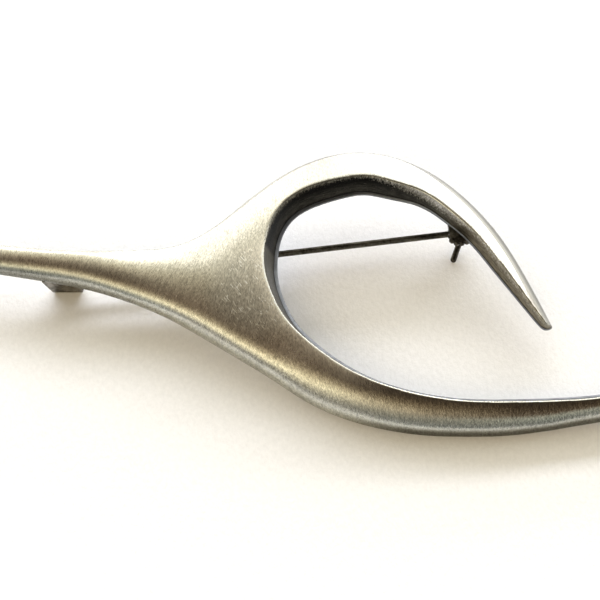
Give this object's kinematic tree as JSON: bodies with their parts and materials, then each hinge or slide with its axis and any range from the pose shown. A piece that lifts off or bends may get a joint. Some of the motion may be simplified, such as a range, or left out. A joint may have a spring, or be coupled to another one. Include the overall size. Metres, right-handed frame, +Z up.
{
  "type": "brooch",
  "caption": "Fluid cast brooch: a slim tail swells and forks round an open loop into a curling upper arm and a sweeping lower arm, with a hinged pin stem and a catch on its flat back.",
  "frame": {"origin": "middle of the bounding box on the surface the brooch lies on", "axes": "+X along the form from its tail to its arms, +Z up through its face, +Y towards the upper arm"},
  "size_m": [0.094, 0.0382, 0.0079],
  "materials": {
    "pewter": "brushed satin pewter, dark in the open loop",
    "steel_wire": "drawn wire"
  },
  "bodies": {
    "brooch": {"brooch_body": "pewter", "hinge_rivet": "steel_wire"},
    "pin": {"pin_stem": "steel_wire"}
  },
  "joints": [
    {"name": "pin_swing", "type": "hinge", "parent": "brooch", "child": "pin", "pos_m": [0.0198, 0.00895, 0.00207], "axis": [0.1151, -0.775, -0.6214], "range_deg": [0, 180]}
  ]
}
